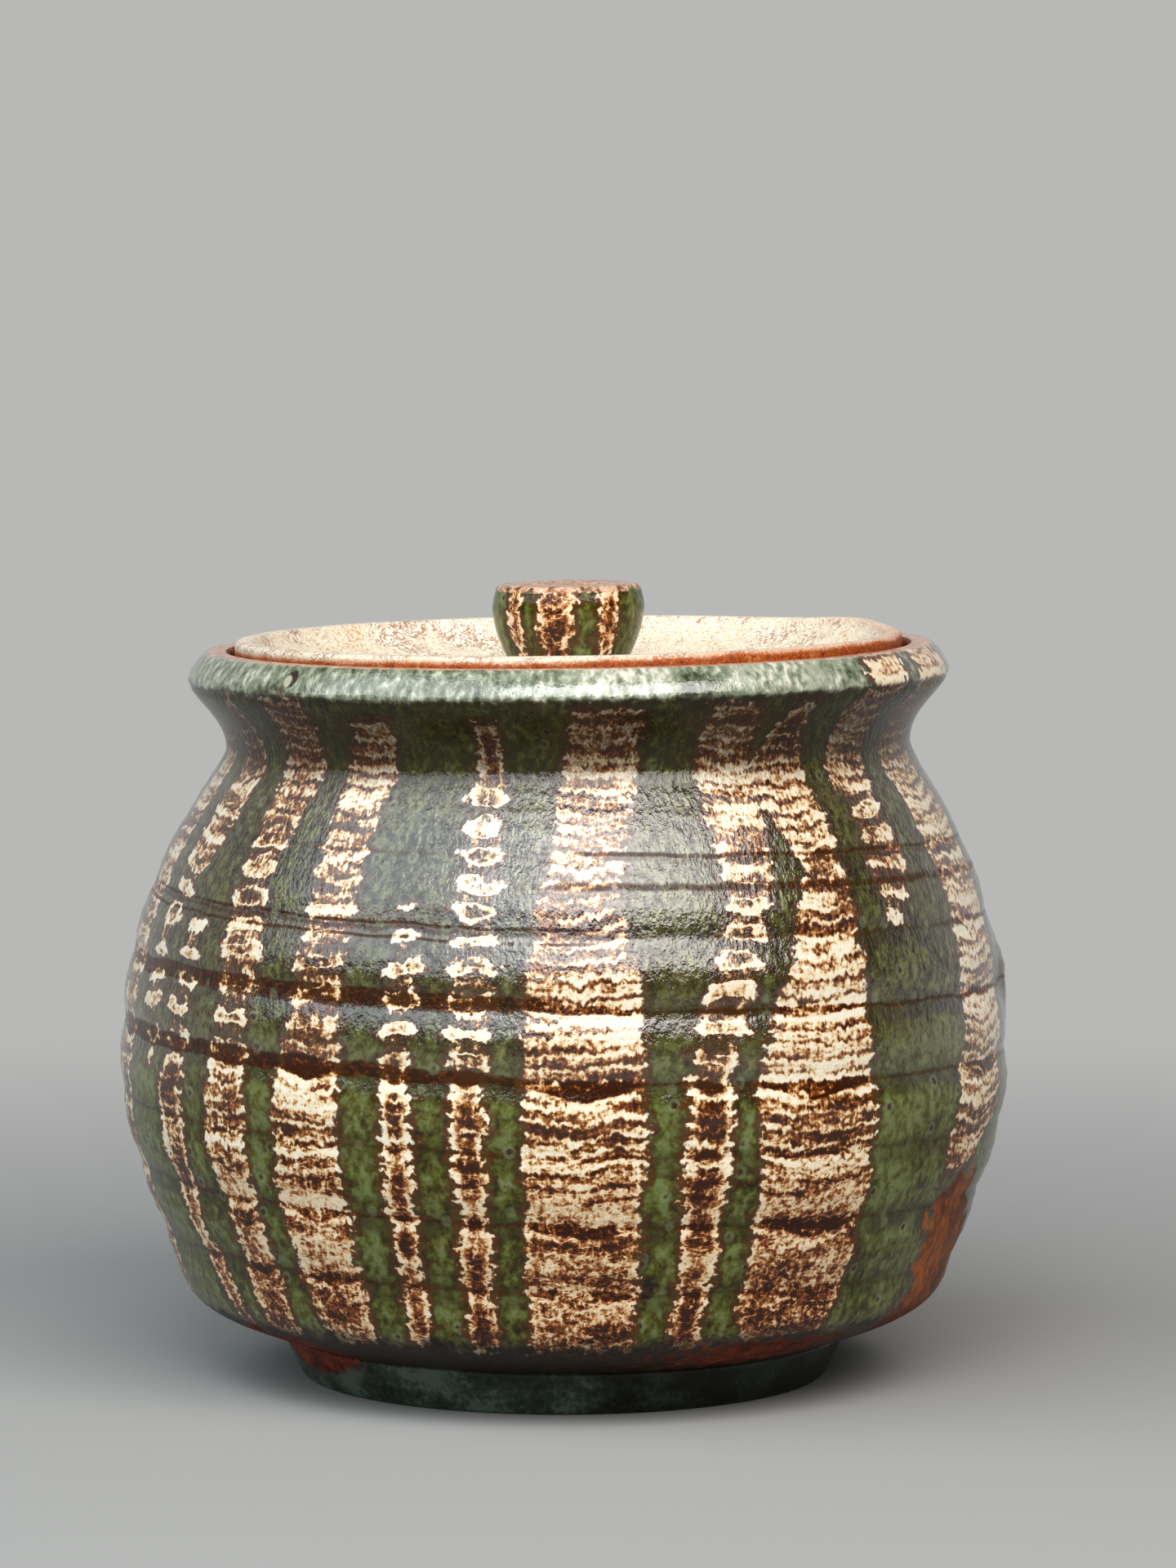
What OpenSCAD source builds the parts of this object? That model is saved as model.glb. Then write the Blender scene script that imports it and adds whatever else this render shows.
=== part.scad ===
// Thrown stoneware jar with a lift-off lid: a round belly on a foot ring, a pinched neck, a flared rim
// with a ledge inside it, and a dished lid with a flared knob that rests on the ledge.
// The jar stands on z = 0 with its axis along +Z. All sizes are in millimetres.

/* [Foot ring] */
// Outside diameter where the foot stands
foot_d = 89; // [76:1:104]
// Outside diameter where the foot meets the belly
foot_top_d = 96; // [84:1:110]
// Height of the foot
foot_h = 7.5; // [4:0.5:14]
// Width of the ring where it stands
foot_w = 7.5; // [4:0.5:12]
// Bevel along both standing edges
foot_bevel = 0.8; // [0.2:0.1:1.5]

/* [Belly] */
// Diameter at the heel, where the underside turns up into the wall
heel_d = 130; // [116:1:144]
// Height of the heel above the foot
heel_h = 10.5; // [7:0.5:20]
// Diameter at the widest place
belly_d = 150; // [136:1:180]
// Height of the widest place above the heel
belly_h = 35; // [24:1:50]
// Thickness of the wall
wall_t = 5.2; // [3.5:0.1:7]
// Thickness of the floor
floor_t = 6; // [4:0.5:9]
// Number of throwing rings between the heel and the neck
ring_count = 8; // [4:1:14]
// Depth of the grooves between the throwing rings
ring_depth = 0.5; // [0.1:0.1:1]

/* [Neck and rim] */
// Diameter at the narrowest place of the neck
neck_d = 115.4; // [104:0.2:124]
// Height of the neck above the widest place
shoulder_h = 54; // [40:1:76]
// Diameter at the sharp lower edge of the rim
lip_d = 128.4; // [120:0.2:140]
// Height of that edge above the neck
lip_h = 11.3; // [9:0.1:18]
// Height of the rim's band above that edge
band_h = 5; // [4.5:0.5:9]
// How far the band leans in towards its top
band_lean = 2.2; // [0:0.1:4]
// Width of the rim's top
rim_w = 5; // [4:0.1:7]
// Rounding of the rim's top edges
rim_round = 1.2; // [0.4:0.1:1.8]

/* [Ledge ring] */
// Depth of the ledge below the rim's top
ledge_depth = 3.7; // [2.5:0.1:6]
// Width of the ledge
ledge_w = 5; // [3.5:0.1:7]
// Thickness of the ring at the wall
ledge_t = 4.1; // [3:0.1:6]
// Thickness of the ring at its nose
nose_t = 1.8; // [1:0.1:2.8]
// Width of the step in the wall that carries the ring
step_w = 1.6; // [1:0.1:3]
// Gap between the ring and the wall around it
slip_gap = 0.1; // [0.05:0.05:0.3]

/* [Lid] */
// Gap all round between the lid and what it drops into
lid_gap = 0.8; // [0.4:0.1:1.5]
// Height of the lid's edge above the ledge
edge_h = 5.4; // [4:0.1:8]
// Width of the lid's raised edge
edge_w = 3.4; // [2.4:0.1:5]
// Rounding of the raised edge
edge_round = 1; // [0.4:0.1:1.2]
// Depth of the dish below the raised edge
dish_depth = 7; // [4:0.1:9]
// Thickness of the dish in the middle
dish_t = 4.5; // [3.5:0.1:7]

/* [Knob] */
// Diameter of the knob
knob_d = 25.6; // [20:0.2:36]
// Diameter of its foot on the dish
knob_foot_d = 17; // [12:0.2:20]
// Height above the dish
knob_h = 15.7; // [12:0.1:24]
// Height of the upright band round its top
knob_band = 4; // [2:0.1:7]
// Rounding of its top edge
knob_round = 1.2; // [0.4:0.1:1.8]
// Depth of the hollow in its top
knob_hollow = 0.7; // [0.2:0.1:1.2]

/* [Hidden] */
$fn = 96;

// Heights along the axis, from the table up
heel_z = foot_h + heel_h;
belly_z = heel_z + belly_h;
neck_z = belly_z + shoulder_h;
lip_z = neck_z + lip_h;
rim_z = lip_z + band_h;
floor_z = foot_h + floor_t;
ledge_z = rim_z - ledge_depth;
step_z = ledge_z - ledge_t;
edge_z = ledge_z + edge_h;
dish_z = edge_z - dish_depth;
knob_z = dish_z + knob_h;

// Radii that fit into each other at the mouth
rim_r = lip_d / 2 - band_lean;
seat_r = rim_r - rim_w;
nose_r = seat_r - ledge_w;
step_r = seat_r - step_w;
lid_r = seat_r - lid_gap;
bowl_r = nose_r - lid_gap;
dish_r = lid_r - edge_w;
knob_r = knob_d / 2;
knob_foot_r = knob_foot_d / 2;

// The direction of each surface at its stations, in degrees above level
level = 0;
upright = 90;
inward = 180;
foot_turn = 20;
heel_turn = 70;
lip_turn = 68;
band_turn = atan2(band_lean, band_h);
dish_turn = 55;
knob_turn = 60;

// How far each curve keeps its first and its last direction, as shares of its chord
heel_reach = [0.5, 0.32];
lower_reach = [0.28, 0.32];
upper_reach = [0.62, 0.08];
flare_reach = [0.385, 0.27];
bowl_reach = [0.4, 0.4];
inner_upper_reach = [0.62, 0.12];
throat_reach = [0.4, 0.25];
under_reach = [0.45, 0.2];
dish_reach = [0.2, 0.45];
knob_reach = [0.35, 0.3];
hollow_reach = [0.3, 0.5];

// Steps of each curve, and of each throwing ring
curve_steps = 14;
steps_per_ring = 6;
ring_pitch = (neck_z - heel_z) / ring_count;
lower_steps = ceil(belly_h / ring_pitch * steps_per_ring);
upper_steps = ceil(shoulder_h / ring_pitch * steps_per_ring);

function heading(turn) = [cos(turn), sin(turn)];

function bezier(a, b, c, d, t) =
    a * pow(1 - t, 3) + 3 * b * t * pow(1 - t, 2) + 3 * c * t * t * (1 - t) + d * pow(t, 3);

// A curve from one place to the next that leaves and arrives in the directions given
function sweep(from, from_turn, to, to_turn, reach, steps) =
    let (chord = norm(to - from))
    let (leave = from + heading(from_turn) * chord * reach[0])
    let (arrive = to - heading(to_turn) * chord * reach[1])
    [for (i = [0:steps]) bezier(from, leave, arrive, to, i / steps)];

// A round corner about a centre, between two angles in degrees
function corner(centre, radius, first, last) =
    [for (i = [0:curve_steps]) centre + radius * heading(first + (last - first) * i / curve_steps)];

// Where the inside of the wall lies behind a place on its outside
function behind(place, turn) = place + wall_t * [-sin(turn), cos(turn)];

// How deep the throwing rings cut at a height: round crests with sharp grooves between them
function groove(z) = ring_depth * (1 - abs(cos(180 * (z - heel_z) / ring_pitch)));

function thrown(outline) = [for (p = outline) [p.x - groove(p.y), p.y]];

// Stations of the outside of the pot
foot_at = [foot_top_d / 2, foot_h];
heel_at = [heel_d / 2, heel_z];
belly_at = [belly_d / 2, belly_z];
neck_at = [neck_d / 2, neck_z];
lip_at = [lip_d / 2, lip_z];

heel_curve = sweep(foot_at, foot_turn, heel_at, heel_turn, heel_reach, curve_steps);
lower_curve = sweep(heel_at, heel_turn, belly_at, upright, lower_reach, lower_steps);
upper_curve = sweep(belly_at, upright, neck_at, upright, upper_reach, upper_steps);
flare_curve = sweep(neck_at, upright, lip_at, lip_turn, flare_reach, curve_steps);

// Stations of the inside of the pot
floor_in = [foot_top_d / 2 - wall_t, floor_z];
heel_in = behind(heel_at, heel_turn);
belly_in = behind(belly_at, upright);
neck_in = behind(neck_at, upright);

bowl_curve = sweep(floor_in, level, heel_in, heel_turn, bowl_reach, curve_steps);
inner_lower_curve = sweep(heel_in, heel_turn, belly_in, upright, lower_reach, curve_steps);
inner_upper_curve = sweep(belly_in, upright, neck_in, upright, inner_upper_reach, curve_steps);
throat_curve = sweep(neck_in, upright, [step_r, step_z], lip_turn, throat_reach, curve_steps);

module revolve(outline) {
    rotate_extrude() polygon(outline);
}

// Floor, belly, neck and rim, with a step inside the rim for the ledge
module pot_body() {
    outside = concat(
        [[0, foot_h]],
        heel_curve,
        thrown(lower_curve),
        thrown(upper_curve),
        flare_curve,
        corner([rim_r - rim_round, rim_z - rim_round], rim_round, band_turn, upright)
    );
    inside = concat(
        [[0, floor_z]],
        bowl_curve,
        inner_lower_curve,
        inner_upper_curve,
        throat_curve,
        [[seat_r, step_z]],
        corner([seat_r + rim_round, rim_z - rim_round], rim_round, inward, upright)
    );
    reversed = [for (i = [len(inside) - 1:-1:0]) inside[i]];
    color([0.33, 0.38, 0.22]) revolve(concat(outside, reversed));
}

// Ring under the floor that the jar stands on
module foot_ring() {
    inner_r = foot_d / 2 - foot_w;
    color([0.24, 0.31, 0.29]) revolve([
        [inner_r + foot_bevel, 0],
        [foot_d / 2 - foot_bevel, 0],
        [foot_d / 2, foot_bevel],
        foot_at,
        [inner_r, foot_h],
        [inner_r, foot_bevel]
    ]);
}

// Ledge inside the rim that carries the lid
module ledge_ring() {
    color([0.55, 0.27, 0.12]) revolve([
        [step_r, step_z],
        [seat_r - slip_gap, step_z],
        [seat_r - slip_gap, ledge_z],
        [nose_r, ledge_z],
        [nose_r, ledge_z - nose_t]
    ]);
}

// Sunken lid with a raised edge and a flat seat for the knob
module lid_dish() {
    knob_seat = [knob_foot_r + edge_round, dish_z];
    under_seat = [knob_foot_r + edge_round, dish_z - dish_t];
    under = sweep(under_seat, level, [bowl_r, ledge_z], dish_turn, under_reach, curve_steps);
    dish_edge = [dish_r, edge_z - edge_round];
    dish = sweep(dish_edge, inward + dish_turn, knob_seat, inward, dish_reach, curve_steps);
    outline = concat(
        [[0, under_seat.y]],
        under,
        [[lid_r, ledge_z]],
        corner([lid_r - edge_round, edge_z - edge_round], edge_round, level, upright),
        corner([dish_r + edge_round, edge_z - edge_round], edge_round, upright, inward),
        dish,
        [[0, dish_z]]
    );
    color([0.87, 0.78, 0.62]) revolve(outline);
}

// Flared knob with a shallow hollow in its top
module lid_knob() {
    band_z = knob_z - knob_band;
    top_edge = [knob_r - 2 * knob_round, knob_z];
    outline = concat(
        [[0, dish_z]],
        sweep([knob_foot_r, dish_z], knob_turn, [knob_r, band_z], upright, knob_reach, curve_steps),
        corner([knob_r - knob_round, knob_z - knob_round], knob_round, level, upright),
        sweep(top_edge, inward, [0, knob_z - knob_hollow], inward, hollow_reach, curve_steps)
    );
    color([0.42, 0.33, 0.2]) revolve(outline);
}

pot_body();
foot_ring();
ledge_ring();
lid_dish();
lid_knob();
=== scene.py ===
import math
from types import SimpleNamespace
import bpy
import numpy as np
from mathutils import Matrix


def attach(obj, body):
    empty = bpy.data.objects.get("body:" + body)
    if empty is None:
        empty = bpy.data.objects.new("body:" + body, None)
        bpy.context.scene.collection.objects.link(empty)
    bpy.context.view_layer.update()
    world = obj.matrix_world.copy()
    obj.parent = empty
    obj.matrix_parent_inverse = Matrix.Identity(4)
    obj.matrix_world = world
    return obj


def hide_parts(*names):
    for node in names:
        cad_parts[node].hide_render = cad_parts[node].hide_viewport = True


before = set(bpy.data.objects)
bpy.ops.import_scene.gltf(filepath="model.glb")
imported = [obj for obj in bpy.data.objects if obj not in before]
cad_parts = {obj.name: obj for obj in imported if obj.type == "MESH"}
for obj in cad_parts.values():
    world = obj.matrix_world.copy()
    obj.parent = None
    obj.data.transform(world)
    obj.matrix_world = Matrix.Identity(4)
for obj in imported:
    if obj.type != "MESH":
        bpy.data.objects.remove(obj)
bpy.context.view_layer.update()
mm = 0.001
print("frame loaded:", sorted(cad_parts))

# The jar is seen from -Y. Angles round it are in degrees from the front, positive to the right.
# Outlines are (radius, height) places in millimetres that the wheel turns about the axis.


# Node helpers

class Field:  # a node socket that can be written in sums and products
    def __init__(self, tree, socket):
        self.tree, self.socket = tree, socket

    def __add__(self, other):
        return calc(self.tree, "ADD", self, other)

    def __sub__(self, other):
        return calc(self.tree, "SUBTRACT", self, other)

    def __rsub__(self, other):
        return calc(self.tree, "SUBTRACT", other, self)

    def __mul__(self, other):
        return calc(self.tree, "MULTIPLY", self, other)

    def __truediv__(self, other):
        return calc(self.tree, "DIVIDE", self, other)

    __radd__, __rmul__ = __add__, __mul__

    def does(self, operation, *others):
        return calc(self.tree, operation, self, *others)

    def fade(self, low, high, outLow=0.0, outHigh=1.0):
        sockets = {"Value": self, "From Min": low, "From Max": high, "To Min": outLow, "To Max": outHigh}
        return out(self.tree, "ShaderNodeMapRange", sockets, "Result", interpolation_type="SMOOTHSTEP")

    def bell(self, middle, half):
        return (self - middle).does("ABSOLUTE").fade(half, half * 0.25)


def put(tree, kind, sockets=None, **settings):
    made = tree.nodes.new(kind)
    for name, value in settings.items():
        setattr(made, name, value)
    for key, value in (sockets or {}).items():
        if isinstance(value, Field):
            tree.links.new(value.socket, made.inputs[key])
        else:
            made.inputs[key].default_value = value
    return made


def out(tree, kind, sockets=None, output=0, **settings):
    return Field(tree, put(tree, kind, sockets, **settings).outputs[output])


def calc(tree, operation, *values):
    return out(tree, "ShaderNodeMath", dict(enumerate(values)), operation=operation)


# Outlines

upright, inward, downward = 90, 180, 270  # headings in degrees; 0 points outwards


def heading(turn):
    return np.array([math.cos(math.radians(turn)), math.sin(math.radians(turn))])


def sweep(start, startTurn, end, endTurn, reach, steps):
    a, d = np.array(start, float), np.array(end, float)
    chord = np.linalg.norm(d - a)
    b = a + heading(startTurn) * chord * reach[0]
    c = d - heading(endTurn) * chord * reach[1]
    t = np.linspace(0, 1, steps + 1)[:, None]
    return a * (1 - t) ** 3 + 3 * b * t * (1 - t) ** 2 + 3 * c * t ** 2 * (1 - t) + d * t ** 3


def corner(centre, radius, first, last, steps=6):
    return np.array([np.array(centre) + radius * heading(turn) for turn in np.linspace(first, last, steps + 1)])


def straight(start, end, steps):
    t = np.linspace(0, 1, steps + 1)[:, None]
    return np.array(start, float) * (1 - t) + np.array(end, float) * t


def stretchOf(points, finish, **marks):
    return {"points": np.atleast_2d(np.array(points, float)), "finish": finish, "marks": marks}


markNames = ("thrown", "thin")  # how deep the rings cut, where glaze runs thin
sameSpot = 0.02  # places closer than this are one


def joinStretches(stretches):
    rows = []
    for part in stretches:
        for r, z in part["points"]:
            if rows and abs(rows[-1]["r"] - r) + abs(rows[-1]["z"] - z) < sameSpot:
                continue
            row = {"r": r, "z": z, "finish": part["finish"]}
            for name in markNames:
                value = part["marks"].get(name, 0.0)
                row[name] = value(z) if callable(value) else value
            rows.append(row)
    return rows


# The throwing wheel: turns an outline into a wall with throwing rings, a slight lean and a slight wobble

ring = {"pitch": 11.6, "height": 58.4}  # the throwing rings, and where one of their grooves crosses the front
wheelInputs = {
    "Segments": ("NodeSocketInt", 256),
    "Ring Pitch": ("NodeSocketFloat", ring["pitch"]),
    "Ring Depth": ("NodeSocketFloat", 0.0),
    "Groove Height": ("NodeSocketFloat", ring["height"]),
    "Fine Pitch": ("NodeSocketFloat", 2.9),
    "Fine Depth": ("NodeSocketFloat", 0.0),
    "Wobble": ("NodeSocketFloat", 0.0),
    "Seed": ("NodeSocketFloat", 4.0),
    "Lean": ("NodeSocketFloat", 0.8),
    "Tilt": ("NodeSocketFloat", 0.014),
    "Lean From": ("NodeSocketFloat", 60.0),
    "Lean To": ("NodeSocketFloat", 118.0),
    "Wrap Radius": ("NodeSocketFloat", 66.0),
    "Level Shift": ("NodeSocketFloat", 0.0),
    "Material": ("NodeSocketMaterial", None),
}
turning = {"wobbleRound": 1.3, "wobbleUp": 0.035, "wobbleFrom": 20.0, "fineStarts": 3, "weldGap": 0.005}


def makeWheel():
    tree = bpy.data.node_groups.new("throwingWheel", "GeometryNodeTree")
    tree.interface.new_socket("Geometry", in_out="INPUT", socket_type="NodeSocketGeometry")
    for name, (kind, value) in wheelInputs.items():
        socket = tree.interface.new_socket(name, in_out="INPUT", socket_type=kind)
        if value is not None:
            socket.default_value = value
    tree.interface.new_socket("Geometry", in_out="OUTPUT", socket_type="NodeSocketGeometry")
    entry = put(tree, "NodeGroupInput")
    given = {socket.name: Field(tree, socket) for socket in entry.outputs if socket.name}
    outline = given["Geometry"]
    turn = 2 * math.pi

    # a flat grid, one column for each step of the turn and one row for each place on the outline
    rowCount = out(tree, "GeometryNodeAttributeDomainSize", {"Geometry": outline}, "Point Count")
    flatSize = {"Size X": 1.0, "Size Y": 1.0, "Vertices X": given["Segments"] + 1, "Vertices Y": rowCount}
    grid = out(tree, "GeometryNodeMeshGrid", flatSize, "Mesh")
    here = out(tree, "GeometryNodeInputPosition")
    flat = put(tree, "ShaderNodeSeparateXYZ", {0: here})
    angle = (Field(tree, flat.outputs["X"]) + 0.5) * turn + turn / 4  # the seam is at the back
    row = ((Field(tree, flat.outputs["Y"]) + 0.5) * (rowCount - 1)).does("ROUND")

    def fromOutline(field, dataType):
        sockets = {"Geometry": outline, "Value": field, "Index": row}
        return out(tree, "GeometryNodeSampleIndex", sockets, data_type=dataType, domain="POINT")

    def named(name):
        return fromOutline(out(tree, "GeometryNodeInputNamedAttribute", {"Name": name}, data_type="FLOAT"), "FLOAT")

    place = put(tree, "ShaderNodeSeparateXYZ", {0: fromOutline(here, "FLOAT_VECTOR")})
    radius = Field(tree, place.outputs["X"]) / mm
    height = Field(tree, place.outputs["Z"]) / mm
    thrown, along = named("thrown"), named("along")

    # throwing rings climb as one spiral: round crests, sharp grooves
    phase = (height - given["Groove Height"]) / given["Ring Pitch"] + (angle - 0.75 * turn) / turn
    crest = (phase * (turn / 2)).does("SINE").does("ABSOLUTE")
    fineWave = ((height / given["Fine Pitch"] + angle * turning["fineStarts"] / turn) * turn).does("SINE")
    cut = (1 - crest) * given["Ring Depth"] + fineWave * given["Fine Depth"]

    # a hand-turned wall is a little out of round
    roundX, roundY = angle.does("COSINE"), angle.does("SINE")
    softX, softY = roundX * turning["wobbleRound"], roundY * turning["wobbleRound"]
    softZ = height * turning["wobbleUp"] + given["Seed"]
    softPlace = out(tree, "ShaderNodeCombineXYZ", {"X": softX, "Y": softY, "Z": softZ})
    soft = out(tree, "ShaderNodeTexNoise", {"Vector": softPlace, "Scale": 1.0, "Detail": 2.0})
    steady = radius.fade(0.0, turning["wobbleFrom"])  # no wobble at the axis, where the wall closes
    wobble = (soft - 0.5) * given["Wobble"] * steady
    newRadius = radius + wobble - cut * thrown

    # the upper part leans a little and its rim tilts
    upper = height.fade(given["Lean From"], given["Lean To"])
    x = newRadius * roundX + upper * given["Lean"]
    y = newRadius * roundY
    z = height + x * given["Tilt"] * upper
    wall = out(tree, "ShaderNodeCombineXYZ", {"X": x * mm, "Y": y * mm, "Z": z * mm})

    # what the glazes read: a place wrapped on an even cylinder, heights, grooves and thin edges
    wrap = out(tree, "ShaderNodeCombineXYZ",
               {"X": roundX * given["Wrap Radius"], "Y": roundY * given["Wrap Radius"], "Z": along})
    marks = {"wrap": wrap, "level": height + given["Level Shift"], "thrown": thrown, "thin": named("thin"),
             "finish": named("finish")}
    made = grid
    for name, value in marks.items():
        kind = "FLOAT_VECTOR" if name == "wrap" else "FLOAT"
        made = out(tree, "GeometryNodeStoreNamedAttribute", {"Geometry": made, "Name": name, "Value": value},
                   data_type=kind, domain="POINT")
    made = out(tree, "GeometryNodeSetPosition", {"Geometry": made, "Position": wall})
    made = out(tree, "GeometryNodeMergeByDistance", {"Geometry": made, "Distance": turning["weldGap"] * mm})
    made = out(tree, "GeometryNodeSetShadeSmooth", {"Geometry": made})
    made = out(tree, "GeometryNodeRealizeInstances", {"Geometry": made})
    made = out(tree, "GeometryNodeSetMaterial", {"Geometry": made, "Material": given["Material"]})
    put(tree, "NodeGroupOutput", {"Geometry": made})
    return tree


wheel = makeWheel()
print("throwing wheel ready")


def turnPiece(name, stretches, finishes, settings, closedLoop=False):
    rows = joinStretches(stretches)
    if closedLoop:
        rows.append(rows[0])
    finishNames = list(finishes)
    places = np.array([[row["r"] * mm, 0.0, row["z"] * mm] for row in rows])
    steps = np.linalg.norm(np.diff(places, axis=0), axis=1) / mm
    base = bpy.data.meshes.new(name + "Outline")
    base.from_pydata([tuple(p) for p in places], [(i, i + 1) for i in range(len(rows) - 1)], [])
    columns = {mark: [float(row[mark]) for row in rows] for mark in markNames}
    columns["finish"] = [float(finishNames.index(row["finish"])) for row in rows]
    columns["along"] = [0.0] + list(np.cumsum(steps))
    for key, values in columns.items():
        base.attributes.new(key, "FLOAT", "POINT").data.foreach_set("value", values)
    host = bpy.data.objects.new(name + "Outline", base)
    bpy.context.scene.collection.objects.link(host)
    modifier = host.modifiers.new("throwingWheel", "NODES")
    modifier.node_group = wheel
    given = dict(settings, Material=finishes[finishNames[0]])
    for item in wheel.interface.items_tree:
        if item.in_out == "INPUT" and item.name in given:
            modifier[item.identifier] = given[item.name]
    bpy.context.view_layer.update()
    graph = bpy.context.evaluated_depsgraph_get()
    mesh = bpy.data.meshes.new_from_object(host.evaluated_get(graph), depsgraph=graph)
    bpy.data.objects.remove(host)
    bpy.data.meshes.remove(base)
    mesh.name = name
    mesh.materials.clear()
    for finish in finishNames:
        mesh.materials.append(finishes[finish])
    ofVertex = readNumbers(mesh, "finish")
    firstVertex = np.array([polygon.vertices[0] for polygon in mesh.polygons])
    mesh.polygons.foreach_set("material_index", ofVertex[firstVertex].round().astype(int))
    piece = bpy.data.objects.new(name, mesh)
    bpy.context.scene.collection.objects.link(piece)
    print(f"{name}: {len(rows)} rows, {len(mesh.polygons)} faces")
    return piece


def readNumbers(mesh, name):
    values = np.zeros(len(mesh.vertices))
    mesh.attributes[name].data.foreach_get("value", values)
    return values


def readPlaces(mesh):
    places = np.zeros(len(mesh.vertices) * 3)
    mesh.vertices.foreach_get("co", places)
    return places.reshape(-1, 3) / mm


def writePlaces(mesh, places):
    mesh.vertices.foreach_set("co", (places * mm).ravel())


def writeNumbers(mesh, name, values):
    mesh.attributes.new(name, "FLOAT", "POINT").data.foreach_set("value", np.asarray(values, np.float32))


def angleFromFront(places):
    return np.degrees(np.arctan2(places[:, 0], -places[:, 1]))


def turnGap(a, b):
    return (a - b + 180.0) % 360.0 - 180.0


# Glazes

def colour(red, green, blue):
    def linear(level):
        level /= 255.0
        return level / 12.92 if level <= 0.04045 else ((level + 0.055) / 1.055) ** 2.4
    return (linear(red), linear(green), linear(blue), 1.0)


def mark(tree, name):
    return out(tree, "ShaderNodeAttribute", None, "Fac", attribute_name=name)


def wrapOf(tree):
    return out(tree, "ShaderNodeAttribute", None, "Vector", attribute_name="wrap")


def placeOf(tree):
    place = out(tree, "ShaderNodeTexCoord", None, "Object")
    return out(tree, "ShaderNodeVectorMath", {0: place, 1: (1 / mm,) * 3}, operation="MULTIPLY")


def scaled(where, across, up):
    return out(where.tree, "ShaderNodeVectorMath", {0: where, 1: (across, across, up)}, operation="MULTIPLY")


def noise(where, across, up, detail=2.0, roughness=0.5, distortion=0.0):  # centred on zero
    sockets = {"Vector": scaled(where, across, up), "Scale": 1.0, "Detail": detail, "Roughness": roughness,
               "Distortion": distortion}
    return out(where.tree, "ShaderNodeTexNoise", sockets) - 0.5


def blend(share, low, high):
    return out(share.tree, "ShaderNodeMix", {0: share, 6: low, 7: high}, 2, data_type="RGBA")


def ramp(value, stops):
    made = put(value.tree, "ShaderNodeValToRGB", {"Fac": value})
    elements = made.color_ramp.elements
    elements[0].position, elements[1].position = stops[0][0], stops[-1][0]
    elements[0].color, elements[1].color = colour(*stops[0][1]), colour(*stops[-1][1])
    for position, tone in stops[1:-1]:
        elements.new(position).color = colour(*tone)
    return Field(value.tree, made.outputs["Color"])


def newGlaze(name):
    material = bpy.data.materials.new(name)
    material.use_nodes = True
    return material, material.node_tree, material.node_tree.nodes["Principled BSDF"]


def finishGlaze(tree, shader, base, rough, relief, reliefDepth, ior=1.55, shine=0.5):
    bump = out(tree, "ShaderNodeBump", {"Height": relief, "Strength": 0.7, "Distance": reliefDepth * mm})
    for name, value in (("Base Color", base), ("Roughness", rough), ("Normal", bump)):
        tree.links.new(value.socket, shader.inputs[name])
    shader.inputs["IOR"].default_value = ior
    shader.inputs["Specular IOR Level"].default_value = shine


bareStops = [(0.28, (52, 14, 1)), (0.44, (102, 34, 4)), (0.58, (142, 52, 9)), (0.75, (182, 90, 34))]


def bareColour(where):
    coarse = noise(where, 0.3, 0.45, detail=4.0, roughness=0.6)
    fine = noise(where, 2.0, 2.6, detail=3.0)
    return ramp(coarse * 0.9 + fine * 0.5 + 0.5, bareStops), fine


def makeBareClay():
    material, tree, shader = newGlaze("bareClay")
    base, fine = bareColour(wrapOf(tree))
    finishGlaze(tree, shader, base, fine.fade(-0.2, 0.2, 0.5, 0.72), fine, 0.15, ior=1.45)
    return material


lace = {  # pitches and drifts of the cream lines in millimetres, and their tones from clay to cream
    "linePitch": 2.5, "thinPitch": 1.3, "lineDrift": 4.0, "zigzag": 2.4, "dashPitch": 4.9,
    "upperStops": [(0.29, (52, 20, 0)), (0.4, (106, 50, 7)), (0.48, (160, 98, 40)), (0.54, (210, 164, 108)),
                   (0.6, (236, 213, 172)), (0.76, (247, 236, 212))],
    "lowerStops": [(0.28, (46, 16, 0)), (0.4, (100, 43, 5)), (0.49, (145, 79, 30)), (0.57, (188, 128, 72)),
                   (0.65, (226, 190, 142)), (0.8, (244, 224, 192))],
}
moss = {
    "lowStops": [(0.28, (20, 12, 0)), (0.42, (54, 48, 0)), (0.54, (82, 84, 20)), (0.68, (108, 118, 66))],
    "highStops": [(0.26, (14, 9, 0)), (0.42, (38, 30, 0)), (0.56, (58, 51, 2)), (0.72, (98, 100, 32))],
    "rimStops": [(0.28, (46, 50, 28)), (0.43, (90, 98, 72)), (0.57, (122, 130, 104)), (0.72, (168, 172, 150)),
                 (0.88, (228, 222, 206))],
    "hanging": (38, 29, 2), "pitEdge": (150, 160, 120), "burnt": (22, 10, 2), "bubbleFloor": (186, 184, 152),
}
earth = {
    "thinStops": [(0.3, (132, 78, 50)), (0.5, (196, 142, 110)), (0.7, (228, 196, 170))],
    # near-black underside: painted shade under the belly, where the glaze ends
    "underShadeStops": [(0.35, (12, 5, 1)), (0.6, (30, 12, 3))],
    "amberStops": [(0.3, (66, 29, 4)), (0.5, (124, 58, 10)), (0.7, (168, 90, 26))],
    # neck colours: painted shade under the rim, over a glaze that is darker there too
    "neckShadeGreen": (34, 32, 2), "neckShadeBrown": (38, 19, 2),
}
rust, umber, olive = colour(92, 42, 8), colour(46, 21, 4), colour(64, 46, 8)
scratches = {"left": [(82.4, 0.45), (80.2, 0.4)], "right": [(94.0, 0.55), (89.2, 0.9)]}  # height, half width
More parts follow.
